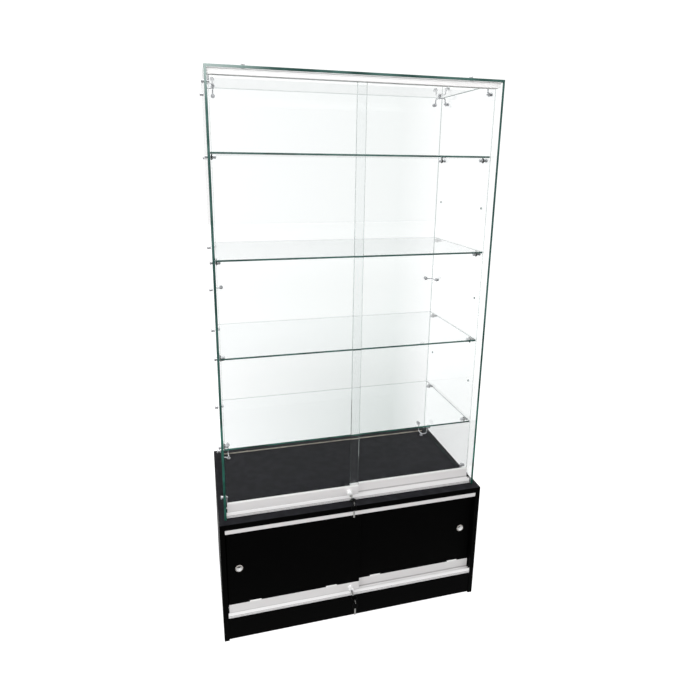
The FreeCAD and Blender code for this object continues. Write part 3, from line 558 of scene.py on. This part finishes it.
# %% Split key rings
TURNS = 2
TURN_STEPS = 48
WIRE_SIDES = 10
for storey in ("upper", "lower"):
    name = storey + "_key_ring"
    low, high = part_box(name)
    size = high - low
    across = thin_axis(size)
    axis = Vector([1.0 if i == across else 0.0 for i in range(3)])
    out = Vector([1.0 if i == (across + 1) % 3 else 0.0 for i in range(3)])
    centre = (low + high) / 2
    wire_r = min(size) / 4
    turn_r = (max(size) - min(size)) / 2
    form = bmesh.new()
    wire = bmesh.ops.create_circle(form, cap_ends=False, segments=WIRE_SIDES, radius=wire_r)["verts"]
    stand = Matrix((out, axis, out.cross(axis))).transposed().to_4x4()
    start = centre + turn_r * out - TURNS * wire_r * axis
    bmesh.ops.transform(form, matrix=Matrix.Translation(start) @ stand, verts=wire)
    bmesh.ops.spin(form, geom=form.verts[:] + form.edges[:], cent=centre, axis=axis,
                   dvec=axis * 2 * wire_r / TURN_STEPS, angle=TURNS * 2 * math.pi, steps=TURNS * TURN_STEPS,
                   use_merge=False, use_duplicate=False)
    bmesh.ops.holes_fill(form, edges=[e for e in form.edges if e.is_boundary], sides=WIRE_SIDES + 2)
    ring = fitting(form, storey + "_split_ring", storey + "_hanging_key", steel)
    for face in ring.data.polygons:
        face.use_smooth = len(face.vertices) == 4
    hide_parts(name)
    print(name, "thin axis", "xyz"[across], "radius", round(turn_r * 1000, 2), "mm")

# %% [markdown]
# The photograph was taken from the left at about eye height, with the case cut out on white. The floor has
# to look white as well and still hold a shadow, so it is part pale surface and part its own light: where
# lamps reach it the two add up to white, and under the case only the second part is left. Through the glass
# the floor behind shows a painted shadow: its own light is made weaker to the back and the right of the
# case, for rays that come through the glass only. Far from the lamps
# the floor's own light takes over, so that it runs into the white wall with no line. In front of the case
# stands the photographer in a dim room, so what metal and glass mirror from there is dark.

# %% White floor
FLOOR_HALF = 14.0
FLOOR_GLOW = 0.72
SHADE_CENTRE, SHADE_REACH = (0.6, 1.2, 0.0), 2.4
SHADE_GLOW = (0.46, 0.76)  # the floor's own light behind the case, in the painted shadow and clear of it
MIRROR_DIM = 0.92


def sight(tree):
    """Light Path's outputs, and two flags: seen directly or through glass, and seen in a reflection."""
    path = add(tree, "ShaderNodeLightPath").outputs
    rays = {0: path["Is Camera Ray"], 1: path["Is Transmission Ray"]}
    seen = add(tree, "ShaderNodeMath", rays, operation="MAXIMUM")
    mirrored = add(tree, "ShaderNodeMath", {0: path["Glossy Depth"], 1: 0.5}, operation="GREATER_THAN")
    return path, seen, mirrored


def studio_floor():
    material, tree = new_material("pale_studio_floor")
    path, seen, mirrored = sight(tree)
    place = add(tree, "ShaderNodeTexCoord").outputs["Object"]
    # Painted shadow: the floor's own light is darker near this point behind the case, for rays that come
    # through glass.
    away = add(tree, "ShaderNodeVectorMath", {0: place, 1: SHADE_CENTRE}, operation="DISTANCE")
    behind = add(tree, "ShaderNodeMapRange", {
        "Value": away, "From Min": 0.1, "From Max": SHADE_REACH,
        "To Min": SHADE_GLOW[0], "To Max": SHADE_GLOW[1],
    })
    share = add(tree, "ShaderNodeMix", {"Factor": path["Is Transmission Ray"], "A": FLOOR_GLOW, "B": behind})
    far = add(tree, "ShaderNodeVectorMath", {0: place}, operation="LENGTH")
    fade = add(tree, "ShaderNodeMapRange", {
        "Value": far, "From Min": 2.2, "From Max": 8.0, "To Min": 1.0, "To Max": 1.2,
    })
    grown = add(tree, "ShaderNodeMath", {0: share, 1: fade}, operation="MULTIPLY")
    shown = add(tree, "ShaderNodeMath", {0: seen, 1: mirrored}, operation="MAXIMUM")
    level = add(tree, "ShaderNodeMath", {0: grown, 1: shown}, operation="MULTIPLY")
    matt = add(tree, "ShaderNodeBsdfDiffuse", {"Color": "#c8c8c8"})
    glow = add(tree, "ShaderNodeEmission", {"Color": "#ffffff", "Strength": level})
    lit = add(tree, "ShaderNodeAddShader", {0: matt, 1: glow})
    depth = add(tree, "ShaderNodeSeparateXYZ", {"Vector": place}).outputs["Y"]
    front = add(tree, "ShaderNodeMapRange", {
        "Value": depth, "From Min": -0.5, "From Max": 0.6, "To Min": MIRROR_DIM, "To Max": 0.0,
    })
    dim = add(tree, "ShaderNodeMath", {0: front, 1: mirrored}, operation="MULTIPLY")
    dark = add(tree, "ShaderNodeBsdfDiffuse", {"Color": "#101010"})
    show(tree, add(tree, "ShaderNodeMixShader", {"Fac": dim, 1: lit, 2: dark}))
    return material


form = bmesh.new()
bmesh.ops.create_grid(form, x_segments=1, y_segments=1, size=FLOOR_HALF)
floor_mesh = bpy.data.meshes.new("studio_floor")
form.to_mesh(floor_mesh)
form.free()
floor = bpy.data.objects.new("studio_floor", floor_mesh)
bpy.context.scene.collection.objects.link(floor)
floor_mesh.materials.append(studio_floor())
print("floor:", 2 * FLOOR_HALF, "m wide")

# %% [markdown]
# The world is the white wall behind the case and the weak light that fills the shadows. The camera sees it
# as white, also through glass, and everything else is lit by less than half of that, so that the lamps
# still shape the case. Mirrored rays see a room that is white at the back and dim at the front.

# %% White world
FILL, WALL = 0.45, 1.12
ROOM_FRONT, ROOM_BACK = 0.4, 1.0
world = bpy.data.worlds.new("white_studio")
bpy.context.scene.world = world
world.use_nodes = True
sky = world.node_tree
sky.nodes.clear()
path, seen, mirrored = sight(sky)
toward = add(sky, "ShaderNodeSeparateXYZ", {"Vector": add(sky, "ShaderNodeTexCoord").outputs["Generated"]})
plain = add(sky, "ShaderNodeMapRange", {"Value": seen, "To Min": FILL, "To Max": WALL})
room = add(sky, "ShaderNodeMapRange", {
    "Value": toward.outputs["Y"], "From Min": -0.35, "From Max": 0.35,
    "To Min": ROOM_FRONT, "To Max": ROOM_BACK,
})
level = add(sky, "ShaderNodeMix", {"Factor": mirrored, "A": plain, "B": room})
backdrop = add(sky, "ShaderNodeBackground", {"Color": "#ffffff", "Strength": level})
add(sky, "ShaderNodeOutputWorld", {"Surface": backdrop})
print("floor and world are white to the camera")

# %% [markdown]
# Four large lamps give soft shadows. The one overhead lights the deck and the tops of the rails, and it may
# show in the metal. The three at the front lift the doors and the edges of the glass, and they are kept out
# of reflections, because a bright square in a pane would hide what is behind it.

# %% Soft lamps
def softbox(name, place, aim, size, watts, mirrored):
    lamp = bpy.data.lights.new(name, "AREA")
    lamp.shape = "RECTANGLE"
    lamp.size, lamp.size_y = size
    lamp.energy = watts
    holder = bpy.data.objects.new(name, lamp)
    holder.location = place
    holder.rotation_euler = (Vector(aim) - Vector(place)).to_track_quat("-Z", "Y").to_euler()
    holder.visible_camera = False
    holder.visible_glossy = mirrored
    holder.visible_transmission = mirrored
    bpy.context.scene.collection.objects.link(holder)


softbox("overhead_softbox", (0.0, -0.3, 4.2), (0.0, 0.0, 0.5), (3.0, 2.4), 70, mirrored=True)
softbox("left_softbox", (-3.2, -2.6, 2.6), (0.0, 0.0, 1.0), (2.2, 2.2), 60, mirrored=False)
softbox("front_softbox", (-0.9, -3.0, 2.5), (0.0, 0.0, 0.6), (1.2, 1.2), 60, mirrored=False)
softbox("right_softbox", (3.4, -1.8, 2.2), (0.0, 0.0, 1.0), (2.0, 2.0), 35, mirrored=False)
print("four soft lamps")

# %% [markdown]
# The camera comes from fitting the edges of the case in the photograph: its place, how far it turns to the
# right, how far it looks down, and a slight roll. The lens is given as a focal length in pixels of a 700
# pixel frame, and the picture is cut a little off its centre, which becomes the shift.

# %% Camera
FRAME_PX = 700
FOCAL_PX = 538.4
CENTRE_PX = (337.6, 300.9)
YAW, PITCH, ROLL = 0.2567, 0.2480, -0.0112
EYE_X, EYE_BACK, EYE_Z = -0.5212, 1.6587, 1.7054
DECK_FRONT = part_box("base_deck")[0].y
forward = Vector((math.sin(YAW) * math.cos(PITCH), math.cos(YAW) * math.cos(PITCH), -math.sin(PITCH)))
level_right = Vector((math.cos(YAW), -math.sin(YAW), 0.0))
level_down = forward.cross(level_right)
right = math.cos(ROLL) * level_right + math.sin(ROLL) * level_down
down = math.cos(ROLL) * level_down - math.sin(ROLL) * level_right
lens = bpy.data.cameras.new("photo_camera")
lens.sensor_width = 36.0
lens.lens = FOCAL_PX / FRAME_PX * lens.sensor_width
lens.shift_x = (FRAME_PX / 2 - CENTRE_PX[0]) / FRAME_PX
lens.shift_y = (CENTRE_PX[1] - FRAME_PX / 2) / FRAME_PX
camera = bpy.data.objects.new("photo_camera", lens)
turn = Matrix((right, -down, -forward)).transposed().to_4x4()
camera.matrix_world = Matrix.Translation((EYE_X, DECK_FRONT - EYE_BACK, EYE_Z)) @ turn
bpy.context.scene.collection.objects.link(camera)
bpy.context.scene.camera = camera
bpy.context.scene.view_settings.view_transform = "Standard"
print("camera at", [round(v, 3) for v in camera.location])
